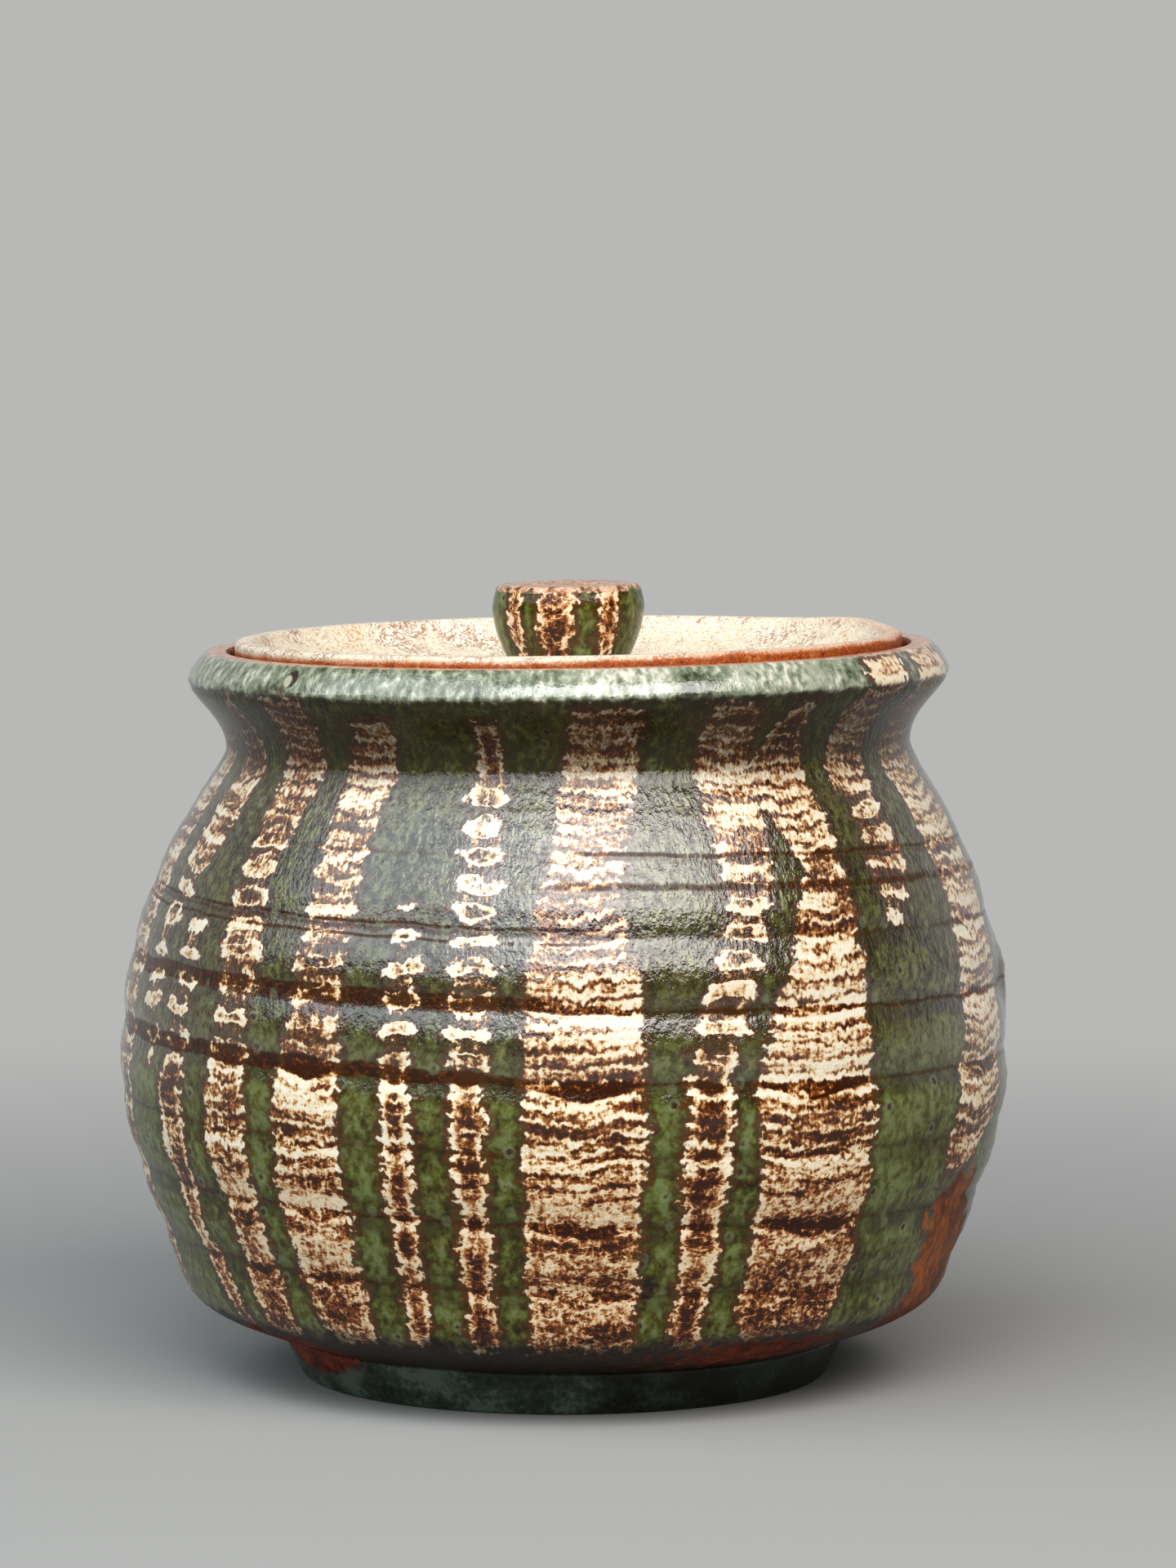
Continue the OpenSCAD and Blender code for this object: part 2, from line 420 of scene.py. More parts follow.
spots = {  # right, back and height on the wrapped cylinder, in millimetres
    "blotch": (21.5, -62.4, 119.5), "rimHighlightFront": (9.2, -65.4, 121.0), "rimHighlightRight": (36.0, -55.4, 121.0),
    "burnt": (13.0, -64.7, 24.5), "bubble": (-46.4, -46.2, 121.2), "bubbleFloor": (-46.9, -45.7, 120.8),
}
skinCoat = {"ior": 1.95, "roughness": 0.12, "bumpStrength": 0.75, "bumpDepth": 0.16}


def readWall(tree):  # where a place lies on the wall, and the noises that the layers of glaze share
    g = SimpleNamespace(tree=tree, wrap=wrapOf(tree))
    axes = put(tree, "ShaderNodeSeparateXYZ", {0: g.wrap})
    g.right, g.back, g.along = [Field(tree, axes.outputs[name]) for name in "XYZ"]
    g.level, g.grooveDeep = mark(tree, "level"), mark(tree, "thrown")
    g.upper, g.lower, g.neck = g.level.fade(52, 66), g.level.fade(47, 38), g.level.fade(101, 109)
    g.leftSide = g.right.fade(15, -25)
    g.edge = mark(tree, "creamEdge")
    g.depth = g.edge.does("MAXIMUM", 0.0).does("MINIMUM", 9.0)
    g.narrow = mark(tree, "creamHalf").fade(6.0, 2.5)
    g.dashes = g.narrow * g.upper * (1 - g.neck)  # narrow stripes break into dashes above the belly
    g.patch = noise(g.wrap, 0.15, 0.2)
    g.cloud = noise(g.wrap, 0.12, 0.1, detail=3.0)
    g.fibre = noise(g.wrap, 1.5, 0.42, roughness=0.55)
    g.grain = noise(g.wrap, 2.2, 1.9)
    g.tangle = noise(g.wrap, 0.85, 1.1, detail=3.0, roughness=0.6)
    g.wander = noise(g.wrap, 0.3, 0.3)
    g.mottle = noise(g.wrap, 0.8, 0.55, detail=4.0, roughness=0.5)
    g.crumb = noise(placeOf(tree), 0.9, 0.9, detail=4.0, roughness=0.6)
    g.rim = (g.level + g.fibre * 0.8 + g.wander * 2.5).fade(118.0, 119.0)
    return g


def gapFrom(g, spot):
    here = out(g.tree, "ShaderNodeCombineXYZ", {"X": g.right, "Y": g.back, "Z": g.level})
    return out(g.tree, "ShaderNodeVectorMath", {0: here, 1: spots[spot]}, "Value", operation="DISTANCE")


def cutGrooves(g):  # glaze is bitten away in each groove and runs out of it in a sagging bright line
    turned = g.right.does("ARCTAN2", g.back * -1.0) / (2 * math.pi)
    phase = (g.level - ring["height"]) / ring["pitch"] + turned
    g.groove = (phase - phase.does("ROUND")) * ring["pitch"] + g.patch * 2.5 + g.fibre * 0.8
    sag = g.depth * ((g.level + g.wander * 4).bell(56, 9) * 0.2 + g.level.fade(44, 36) * 0.16 + 0.05)
    wide = g.leftSide * g.upper * g.level.fade(76, 72)
    above, below = (g.groove - wide * 2.0).fade(0.6, 0.1), (g.groove + sag + wide * 0.8).fade(-0.6, -0.1)
    g.bite = above * below * g.grooveDeep
    g.lip = (g.groove + sag).bell(-1.2, 1.0) * g.grooveDeep
    spiral = g.level + turned * ring["pitch"] + g.patch * 1.2
    left, right = [sum(spiral.bell(*place) for place in scratches[side]) for side in ("left", "right")]
    g.scratch = left * g.right.fade(12, -4) + right * g.right.fade(-12, 4)
    g.scratch = g.scratch * (g.fibre + g.cloud).fade(-0.25, -0.05) * g.back.fade(20, -10)


def wavesOf(place, pitch):
    return (place * (2 * math.pi / pitch)).does("SINE")


def layLace(g):  # wavy cream lines across each stripe, torn by upright fibres, with curls low down
    drift = noise(g.wrap, 0.1, 0.08, detail=1.0) * lace["lineDrift"]
    zigzag = noise(g.wrap, 0.95, 0.24) * lace["zigzag"]
    lines = g.along + g.depth * 0.14 + drift + zigzag
    thick, thin = wavesOf(lines, lace["linePitch"]), wavesOf(lines + g.wander * 2, lace["thinPitch"])
    wave = thick * noise(g.wrap, 0.12, 0.3).fade(-0.15, 0.12, 0.25, 1.0) + thin * 0.45
    bend = g.depth * noise(g.wrap, 0.06, 0.3) * 2.4
    dash = wavesOf(g.along + bend + drift * 1.6 + zigzag * 0.7, lace["dashPitch"])
    curl = noise(g.wrap, 0.42, 0.66, detail=1.0, distortion=0.7).does("ABSOLUTE").fade(0.06, 0.0)
    smooth = (g.level + g.wander * 6).bell(37.4, 3.0) + (g.level + g.wander * 6).bell(29.0, 3.6) * 0.7
    thread = wave * g.level.fade(26, 50, 0.06, 0.17) * (1 - smooth * 0.8) * (1 - g.dashes)
    thread = thread + (dash.fade(-0.35, 0.15) - 0.5) * g.dashes * 0.4 + curl * g.level.fade(54, 36, 0.06, 0.2)
    torn = g.fibre * 0.6 + g.tangle * g.level.fade(30, 52, 1.05, 0.65) + g.grain * 0.3
    beat = noise(g.wrap, 0.05, 0.24, detail=2.0)
    field = thread + torn + g.patch * 0.5 + beat * 0.7 + smooth * 0.17
    field = field - g.bite * 0.24 + g.lip * 0.18 - g.scratch * 0.2
    # the neck term darkens the lines a little: painted shade under the rim
    field = field + g.upper * 0.06 - g.lower * 0.03 - g.neck * 0.03 - g.dashes * 0.04 + g.rim * 0.2
    # the left-side term makes the lines paler on the left below the belly: painted light from the left
    field = field + g.leftSide * (1 - g.upper) * (1 - g.narrow) * 0.05 + 0.46

    # ragged edges: lines run out further than the gaps; narrow stripes break into loops, and into dashes higher up
    g.ragged = g.edge + wave * 0.4 + dash * g.dashes * 0.9 + g.fibre * 1.3 + g.tangle * 2.2 + g.wander * 4
    loops = (g.narrow - g.dashes * 0.45).does("MAXIMUM", g.lower * 0.5)
    field = field + g.ragged.bell(0.6, 0.7) * loops * 0.2 - g.ragged.fade(0.9, 2.0) * (g.narrow - g.dashes) * 0.14
    eye = g.ragged.fade(1.0, 2.4) * dash.fade(0.3, 0.75) * noise(g.wrap, 0.16, 0.22).fade(-0.14, 0.04) * g.dashes
    g.field = field - eye * 0.28
    g.hollow = g.field.fade(0.52, 0.44) * g.dashes * 0.9
    g.inside = (g.ragged + g.rim * (g.mottle * 8 - 0.6)).fade(-0.3, 0.3) * (1 - g.hollow)
    g.outlineShare = (g.ragged + g.tangle).fade(-1.7, -0.4)
    lowTones, highTones = ramp(g.field, lace["lowerStops"]), ramp(g.field, lace["upperStops"])
    # on the neck the lines take the darker low tones, partly painted shade under the rim
    return blend(g.lower.does("MAXIMUM", g.neck * 0.7), highTones, lowTones)


def growMoss(g):  # mottled, paler in the middle of each run, olive and broken by brown on the shoulder
    blotch = (gapFrom(g, "blotch") + g.tangle * 5).fade(4.5, 2.0)
    # painted highlight: two patches on the rim front are paled towards white
    paintedHighlight = (gapFrom(g, "rimHighlightFront") + g.mottle * 12).fade(12.0, 5.0)
    paintedHighlight = paintedHighlight + (gapFrom(g, "rimHighlightRight") + g.mottle * 24).fade(11.0, 5.0) * 0.9
    pool = g.ragged.fade(-0.6, -2.8, -0.09, 0.05)
    green = g.mottle * (g.rim * 0.4 + 0.8) + g.grain * 0.2 + g.cloud * 0.4 + pool
    # the level term darkens the moss towards the foot: painted shade low on the belly
    green = green - g.level.fade(42, 20) * 0.03 - blotch * 0.22 + paintedHighlight * g.rim * 0.18 + 0.53
    tone = blend(g.level.fade(48, 76), ramp(green, moss["lowStops"]), ramp(green, moss["highStops"]))
    tone = blend(g.rim, tone, ramp(green, moss["rimStops"]))

    # darker where it hangs in the rings, brown where it is bitten or scratched away; on the right the dark in each
    # groove is painted shade of the rings
    hang = (g.groove + g.wander * 4).bell(-0.8, 3.2) * g.grooveDeep
    tone = blend(hang * (g.mottle + g.wander).fade(-0.2, 0.2, 0.45, 0.95), tone, colour(*moss["hanging"]))
    tone = blend((g.cloud + g.mottle * 0.4).fade(0.04, 0.2) * g.upper * (1 - g.rim) * 0.7, tone, olive)
    wornAndShade = (g.bite * (g.leftSide * 0.5 + 0.5)).does("MAXIMUM", g.scratch * 0.8)
    tone = blend(wornAndShade, tone, blend(g.tangle.fade(0.0, 0.15), umber, rust))
    return addSpots(g, tone)


def addSpots(g, tone):  # pinholes with pale edges, a burnt spot low on the front, a bubble that burst on the rim
    cells = put(g.tree, "ShaderNodeTexVoronoi", {"Vector": scaled(g.wrap, 0.3, 0.26), "Scale": 1.0})
    pits = Field(g.tree, cells.outputs["Distance"]) + g.grain * 0.14
    chosen = out(g.tree, "ShaderNodeSeparateXYZ", {0: Field(g.tree, cells.outputs["Color"])}, "X").fade(0.36, 0.5)
    tone = blend(pits.bell(0.22, 0.12) * chosen * (1 - g.rim) * 0.22, tone, colour(*moss["pitEdge"]))
    g.pinhole = pits.fade(0.17, 0.09) * chosen * (1 - g.rim)
    tone = blend(g.pinhole * 0.9, tone, umber)
    tone = blend((gapFrom(g, "burnt") + g.tangle * 4).fade(2.4, 1.2), tone, colour(*moss["burnt"]))
    g.bubble = gapFrom(g, "bubble").fade(1.7, 1.3)
    bubbleFloor = gapFrom(g, "bubbleFloor").fade(1.3, 0.9)
    return blend(g.bubble, tone, blend(bubbleFloor, umber, colour(*moss["bubbleFloor"])))


def bareParts(g, base):  # glaze runs thin over sharp edges, and some clay stays bare; near the floor painted shade darkens the underside and the low bare clay
    g.thinShare = (mark(g.tree, "thin") + g.crumb * 1.5).fade(0.35, 0.75)
    base = blend(g.thinShare, base, ramp(g.crumb * 1.3 + 0.5, earth["thinStops"]))
    # the glaze ends below the belly; its near-black colour is painted shade, and the same mask darkens the foot of the
    # knob where it meets the lid
    g.underside = (g.level + g.wander * 7 + g.fibre * 2).fade(16.0, 13.0)
    base = blend(g.underside * 0.95, base, ramp(g.crumb + 0.5, earth["underShadeStops"]))
    bare = mark(g.tree, "bareEdge") + g.fibre * 3 + g.wander * 8 + g.tangle * 3
    base = blend(bare.bell(-0.9, 1.1) * 0.7, base, umber)
    g.bareShare = bare.fade(-0.7, 0.5)
    amber = ramp(g.cloud + g.mottle * 0.8 + 0.5, earth["amberStops"])
    clay, _ = bareColour(g.wrap)
    # low down the bare clay is mixed with umber: painted shade near the floor
    return blend(g.bareShare, base, blend(g.level.fade(12, 17), blend(g.wander + 0.45, clay, umber), amber))


def addSkin(g, shader, ripple):  # glaze lies thickest, with a glassy skin, from the belly up
    thick = (g.mottle + g.grain * 0.8).fade(-0.22, 0.16, 0.62, 1.0).does("MAXIMUM", g.rim * 0.8)
    skin = g.level.fade(46, 64, 0.15, 1.0) * thick * (1 - g.neck * (1 - g.rim) * 0.9)
    skin = skin * (1 - g.bareShare) * (1 - g.underside) * (1 - g.thinShare * 0.7)
    skin = skin * (1 - g.scratch.does("MAXIMUM", g.bite).does("MINIMUM", 1.0) * 0.9)
    bump = out(g.tree, "ShaderNodeBump", {"Height": ripple + g.mottle * 0.5 + g.grain * 0.5,
                                          "Strength": skinCoat["bumpStrength"], "Distance": skinCoat["bumpDepth"] * mm})
    for name, value in (("Coat Weight", skin), ("Coat Normal", bump)):
        g.tree.links.new(value.socket, shader.inputs[name])
    shader.inputs["Coat IOR"].default_value = skinCoat["ior"]
    shader.inputs["Coat Roughness"].default_value = skinCoat["roughness"]


def makeStripedGlaze():
    material, tree, shader = newGlaze("stripedGlaze")
    g = readWall(tree)
    cutGrooves(g)
    cream = layLace(g)
    mossTone = growMoss(g)

    # cream over moss, with a brown line between them; under the rim painted shade darkens it, over a glaze that is
    # darker there too
    brownEdge = blend(g.grain.fade(-0.15, 0.15), rust, olive)
    base = blend(g.outlineShare * (0.9 - g.hollow * 0.5), mossTone, brownEdge)
    base = blend(g.inside, base, cream)
    shade = blend(g.outlineShare, colour(*earth["neckShadeGreen"]), colour(*earth["neckShadeBrown"]))
    base = blend(g.neck * (1 - g.rim) * (g.grain + g.mottle).fade(-0.25, 0.25, 0.92, 0.62), base, shade)
    base = bareParts(g, base)

    rough = g.inside * g.field.fade(0.45, 0.65, 0.03, 0.16) + g.bareShare * 0.35 + g.underside * 0.3
    rough = rough + g.mottle * 0.12 + g.rim * 0.1 + 0.14
    ripple = noise(g.wrap, 1.1, 0.6, detail=3.0, roughness=0.6) * g.level.fade(48, 64, 0.4, 2.0) * (1 - g.rim)
    relief = g.inside * g.field.fade(0.42, 0.62, 0.0, 0.55) + g.mottle * 0.5 + g.grain + ripple
    relief = relief - g.pinhole * 0.7 - g.scratch * 0.6 - g.bubble * 1.5
    relief = relief * (1 - g.thinShare) + g.crumb * g.thinShare
    finishGlaze(tree, shader, base, rough, relief, 0.16, ior=1.45, shine=0.25)
    addSkin(g, shader, ripple)
    return material


footToneAndShade = {"left": 0.64, "right": 0.35,  # mostly painted light and shade, partly a darker glaze: paler to the left, darker to the right
            "stops": [(0.28, (20, 21, 10)), (0.44, (36, 44, 30)), (0.58, (54, 66, 52)), (0.75, (92, 108, 94))]}


def makeFootGlaze():
    material, tree, shader = newGlaze("footGlaze")
    wrap = wrapOf(tree)
    cloud, grain = noise(wrap, 0.12, 0.2, detail=4.0), noise(wrap, 1.1, 0.9, detail=4.0, roughness=0.6)
    right = out(tree, "ShaderNodeSeparateXYZ", {0: wrap}, "X")
    # painted light and shade: the left side lighter, the right side darker
    side = right.fade(-25.0, 30.0, footToneAndShade["left"], footToneAndShade["right"])
    tone = ramp(cloud + grain * 0.6 + side, footToneAndShade["stops"])
    clay, _ = bareColour(wrap)
    bareShare = (mark(tree, "bareEdge") + grain * 5).fade(-0.4, 0.4)
    base = blend(bareShare, tone, clay)
    finishGlaze(tree, shader, base, grain.fade(-0.2, 0.2, 0.3, 0.5) + bareShare * 0.15, grain, 0.12, shine=0.25)
    return material


creamCoat = {
    "stops": [(0.28, (208, 166, 128)), (0.42, (236, 219, 190)), (0.56, (246, 238, 220))],
    "clayStops": [(0.3, (120, 42, 2)), (0.45, (160, 68, 10)), (0.6, (186, 92, 28)), (0.75, (210, 138, 84))],
    "vein": (158, 88, 44), "thin": (150, 78, 40), "flush": (216, 164, 128),  # flush: along the bare clay
}


def makeCreamGlaze():
    material, tree, shader = newGlaze("creamGlaze")
    place = placeOf(tree)
    feather = noise(place, 0.5, 0.5, detail=4.0, roughness=0.6, distortion=1.6)
    speck = noise(place, 1.8, 1.8, detail=3.0, roughness=0.6)
    cloud = noise(place, 0.12, 0.12, detail=3.0)
    tone = ramp(speck + cloud * 0.5 + 0.5, creamCoat["stops"])
    vein = feather.does("ABSOLUTE").fade(0.065, 0.012) * (speck * 0.7 + cloud * 1.3).fade(-0.08, 0.1)
    base = blend(vein * 0.85, tone, colour(*creamCoat["vein"]))
    thinShare = (mark(tree, "thin") + speck * 1.6).fade(0.5, 0.8)
    base = blend(thinShare, base, colour(*creamCoat["thin"]))
    clay = ramp(speck + feather * 0.6 + 0.5, creamCoat["clayStops"])
    bareEdge = mark(tree, "bareEdge")
    bareShare = (bareEdge + speck * 2 + cloud * 1.5).fade(-0.3, 0.3)
    base = blend((bareEdge + speck * 2 + feather).fade(-0.8, 0.0), base, colour(*creamCoat["flush"]))
    base = blend(bareShare, base, clay)
    rough = speck.fade(-0.2, 0.2, 0.26, 0.4) + bareShare * 0.25
    finishGlaze(tree, shader, base, rough, speck - vein * 0.3, 0.12, shine=0.35)
    return material


innerStops = [(0.3, (38, 22, 8)), (0.5, (78, 50, 22)), (0.68, (118, 82, 42))]


def makeInnerGlaze():
    material, tree, shader = newGlaze("innerGlaze")
    place = placeOf(tree)
    cloud, grain = noise(place, 0.1, 0.16, detail=4.0), noise(place, 0.9, 1.1, detail=4.0, roughness=0.6)
    tone = ramp(cloud + grain * 0.5 + 0.5, innerStops)
    finishGlaze(tree, shader, tone, grain.fade(-0.2, 0.2, 0.16, 0.28), grain, 0.1)
    return material


bareClay = makeBareClay()
stripedGlaze = makeStripedGlaze()
footGlaze = makeFootGlaze()
creamGlaze = makeCreamGlaze()
innerGlaze = makeInnerGlaze()
print("glazes mixed")


# Stripes: each cream stripe is a list of (height, left angle, right angle) rows, from the foot up

potStripes = [
    [(13, -80, -76), (28, -82, -75), (40, -81, -76), (52, -80, -74), (66, -80, -73), (80, -81, -74), (95, -81, -73),
     (108, -80, -72)],
    [(58, -66, -64.5), (64, -68, -64), (76, -68.5, -65), (84, -67, -63), (92, -68, -60), (104, -66, -58.5),
     (111, -65, -59), (116, -62, -60)],
    [(15, -57, -54.5), (20, -59, -55), (30, -61.5, -58), (40, -62, -57), (52, -62.5, -56.5), (60, -60, -56),
     (70, -59.5, -56), (79, -59, -56.5)],
    [(14, -49, -43), (22, -50, -43.5), (32, -49.5, -44), (44, -51.5, -44), (55, -50.5, -43.5), (66, -49, -44),
     (76, -50, -43), (90, -51, -45), (104, -51.5, -42.5), (116, -51, -42.5)],
    [(14, -36, -28.5), (24, -38.5, -29), (40, -39, -29), (56, -38, -29), (70, -36, -29.5), (84, -36, -29),
     (98, -36.5, -29), (106, -37, -27.5), (113, -34, -28)],
    [(14, -22, -19), (30, -22.5, -19), (50, -23, -19), (66, -22, -19.5), (76, -22.5, -18.5), (84, -21.5, -20.5)],
    [(14, -13, -9.5), (30, -13.5, -9.5), (50, -13.5, -9.5), (66, -14, -9.5), (78, -14, -9), (92, -14, -9),
     (104, -14, -9), (113, -13, -10.5)],
    [(13, -4.5, 10), (30, -4.5, 10), (58, -4.5, 10), (76, -4.5, 9.5), (86, -3, 7), (96, -1, 9), (107, 0, 12),
     (116, 2, 12)],
    [(14, 15.5, 20), (30, 16, 20.5), (46, 15, 21), (60, 16, 21.5), (70, 18, 24), (82, 22, 27), (92, 23, 30),
     (102, 21.5, 31), (112, 22, 31), (116, 23, 30)],
    [(13, 28, 40), (20, 25.5, 42.5), (34, 26, 42.5), (58, 25, 42), (70, 28, 42), (80, 32, 42), (92, 35.5, 42),
     (104, 30, 41.5), (112, 34, 40), (116, 36, 40)],
    [(83, 49, 52), (90, 48, 56), (100, 49, 55), (106, 47, 56), (116, 48, 57), (119, 51, 61), (124, 50.5, 61.5)],
    [(40, 59, 66), (46, 59.5, 74), (60, 62, 77), (72, 63.5, 78), (84, 65, 79), (96, 64, 80), (108, 63, 76),
     (116, 64, 75), (119, 65, 80), (124, 65, 80)],
]

# the side that the photo doesn't show carries on in the same rhythm: (middle angle, width) of each stripe
backStripes = [(91, 5), (104, 13), (121, 4.5), (133, 9), (148, 4), (160, 15), (179, 5.5), (191, 10), (205, 4),
               (217, 12), (233, 5), (246, 8), (260, 5)]
backDraw = {"seed": 7, "overRim": 0.35, "rimTop": 124, "neckTop": 112, "heights": (13, 32, 52, 72, 92, 110),
            "sway": 1.4, "widths": (0.72, 1.15)}  # overRim: the share of stripes that run on over the rim
nowhere = -30.0  # the edge distance of a place outside all stripes or patches


def drawBackStripes(p):
    rng = np.random.default_rng(p["seed"])
    stripes = []
    for middle, width in backStripes:
        rows = []
        top = p["rimTop"] if rng.random() < p["overRim"] else p["neckTop"]
        for height in (*p["heights"], top):
            shift, half = rng.uniform(-p["sway"], p["sway"]), 0.5 * width * rng.uniform(*p["widths"])
            rows.append((height, middle + shift - half, middle + shift + half))
        stripes.append(rows)
    return stripes


def markStripes(mesh, stripes, radius):
    places = readPlaces(mesh)
    angle, height = angleFromFront(places), places[:, 2]
    edge, halfWidth = np.full(len(places), nowhere), np.full(len(places), 5.0)
    for rows in stripes:
        table = np.array(rows, float)
        left = np.interp(height, table[:, 0], table[:, 1])
        right = np.interp(height, table[:, 0], table[:, 2])
        half = (right - left) / 2 * np.pi / 180 * radius
        sideways = half - np.abs(turnGap(angle, (left + right) / 2)) * np.pi / 180 * radius
        ends = np.minimum(height - table[0, 0], table[-1, 0] - height) + 1.0
        found = np.minimum(sideways, ends)
        halfWidth = np.where(found > edge, half, halfWidth)
        edge = np.maximum(edge, found)
    writeNumbers(mesh, "creamEdge", edge)
    writeNumbers(mesh, "creamHalf", halfWidth)


def markBare(mesh, patches, radius):
    places = readPlaces(mesh)
    angle, edge = angleFromFront(places), np.full(len(places), nowhere)
    for middle, halfWidth, height, halfHeight in patches:
        across = turnGap(angle, middle) / halfWidth
        up = (places[:, 2] - height) / halfHeight
        size = min(halfHeight, halfWidth * np.pi / 180 * radius)
        edge = np.maximum(edge, (1 - np.sqrt(across ** 2 + up ** 2)) * size)
    writeNumbers(mesh, "bareEdge", edge)


# Pot body

pot = {
    "footTopR": 48.0, "footH": 7.5, "heelR": 65.0, "heelZ": 18.0, "bellyR": 75.0, "bellyZ": 53.0,
    "neckR": 57.7, "neckZ": 107.0, "lipR": 64.2, "lipZ": 118.3, "rimR": 62.0, "rimZ": 123.3, "rimRound": 1.2,
    "seatR": 57.0, "stepR": 55.4, "stepZ": 115.5, "wall": 5.2, "floorZ": 13.5,
    "footTurn": 20, "heelTurn": 70, "lipTurn": 68, "lipRound": 0.9, "lipRise": 0.5,
    "segments": 448, "ringDepth": 0.8, "fineDepth": 0.09, "wobble": 0.9,
    "stripeR": 70.0, "bareR": 66.0,  # where the widths of stripes and bare patches are measured
    "grooves": [(14, 0.0), (24, 0.65), (35, 0.9), (47, 0.5), (58, 1.0), (70, 1.0), (82, 0.6), (94, 0.35), (106, 0.2),
                (114, 0.0)],  # how deep the rings cut at each height
    "lump": {"angle": 88.0, "height": 68.0, "rise": 1.3, "across": 3.0, "up": 4.5},
    "barePatches": [(67.0, 7.5, 30.0, 8.0), (71.0, 10.0, 22.0, 8.0), (74.0, 15.0, 14.0, 5.5), (33.0, 15.0, 11.0, 2.6),
                    (-60.0, 16.0, 9.0, 3.5)],  # angle, half width, height, half height
}


def potOutline(p):
    foot, heel, belly = (p["footTopR"], p["footH"]), (p["heelR"], p["heelZ"]), (p["bellyR"], p["bellyZ"])
    neck, lip, step = (p["neckR"], p["neckZ"]), (p["lipR"], p["lipZ"]), (p["stepR"], p["stepZ"])
    footTurn, heelTurn, lipTurn = p["footTurn"], p["heelTurn"], p["lipTurn"]
    heelIn = np.array(heel) + p["wall"] * heading(heelTurn + upright)
    bellyIn, neckIn = (p["bellyR"] - p["wall"], p["bellyZ"]), (p["neckR"] - p["wall"], p["neckZ"])
    floorIn = (p["footTopR"] - p["wall"], p["floorZ"])
    rr, lr = p["rimRound"], p["lipRound"]
    rimOut, rimIn = (p["rimR"] - rr, p["rimZ"] - rr), (p["seatR"] + rr, p["rimZ"] - rr)
    lipEdge = corner((p["lipR"] - lr, p["lipZ"] + p["lipRise"]), lr, -55, 12, 4)
    band = sweep(lipEdge[-1], 102, np.array(rimOut) + rr * heading(42), 132, (0.33, 0.33), 8)[1:-1]
    depths = np.array(p["grooves"])

    def ringCut(z):
        return float(np.interp(z, depths[:, 0], depths[:, 1]))

    return [
        stretchOf(straight((0, p["footH"]), foot, 7), "outside"),
        stretchOf(sweep(foot, footTurn, heel, heelTurn, (0.5, 0.32), 16), "outside", thrown=ringCut),
        stretchOf(sweep(heel, heelTurn, belly, upright, (0.28, 0.32), 42), "outside", thrown=ringCut),
        stretchOf(sweep(belly, upright, neck, upright, (0.62, 0.08), 64), "outside", thrown=ringCut),
        stretchOf(sweep(neck, upright, lip, lipTurn, (0.385, 0.27), 16)[1:-2], "outside", thrown=ringCut),
        stretchOf(lipEdge[:2], "outside", thin=0.28),
        stretchOf(lipEdge[2:], "outside", thin=0.12),
        stretchOf(band, "outside"),
        stretchOf(corner(rimOut, rr, 42, 60, 2), "outside", thin=0.2),
        stretchOf(corner(rimOut, rr, 70, upright, 2), "outside", thin=0.6),
        stretchOf(straight((rimOut[0], p["rimZ"]), (rimIn[0], p["rimZ"]), 3), "outside", thin=0.8),
        stretchOf(corner(rimIn, rr, upright, inward, 5), "bare"),
        stretchOf(straight((p["seatR"], p["rimZ"] - rr), (p["seatR"], p["stepZ"]), 4), "bare"),
        stretchOf(step, "bare"),
        stretchOf(sweep(step, inward + lipTurn, neckIn, downward, (0.25, 0.4), 8), "inside"),
        stretchOf(sweep(neckIn, downward, bellyIn, downward, (0.12, 0.62), 16), "inside"),
        stretchOf(sweep(bellyIn, downward, heelIn, inward + heelTurn, (0.32, 0.28), 10), "inside"),
        stretchOf(sweep(heelIn, inward + heelTurn, floorIn, inward, (0.4, 0.4), 8), "inside"),
        stretchOf(straight(floorIn, (0, p["floorZ"]), 6), "inside"),
    ]


def raiseLump(mesh, lump, insideR):
    places = readPlaces(mesh)
    outward = places * np.array([1.0, 1.0, 0.0])
    reach = np.linalg.norm(outward, axis=1)
    across = turnGap(angleFromFront(places), lump["angle"]) * np.pi / 180 * reach / lump["across"]
    rise = lump["rise"] * np.exp(-across ** 2 - ((places[:, 2] - lump["height"]) / lump["up"]) ** 2)
    rise[reach < insideR] = 0.0  # the inside stays smooth
    places = places + outward / np.maximum(reach, 1e-6)[:, None] * rise[:, None]
    writePlaces(mesh, places)


def makePot(p):
    settings = {"Segments": p["segments"], "Ring Depth": p["ringDepth"], "Fine Depth": p["fineDepth"],
                "Wobble": p["wobble"]}
    finishes = {"outside": stripedGlaze, "bare": bareClay, "inside": innerGlaze}
    piece = turnPiece("potBody", potOutline(p), finishes, settings)
    markStripes(piece.data, potStripes + drawBackStripes(backDraw), p["stripeR"])
    markBare(piece.data, p["barePatches"], p["bareR"])
    raiseLump(piece.data, p["lump"], p["bellyR"] - p["wall"] + 1.0)
    return piece


# Foot ring

foot = {"standR": 44.5, "topR": 48.0, "height": 7.5, "width": 7.5, "round": 0.9, "segments": 320,
        "barePatches": [(-63.0, 18.0, 8.2, 4.8)]}


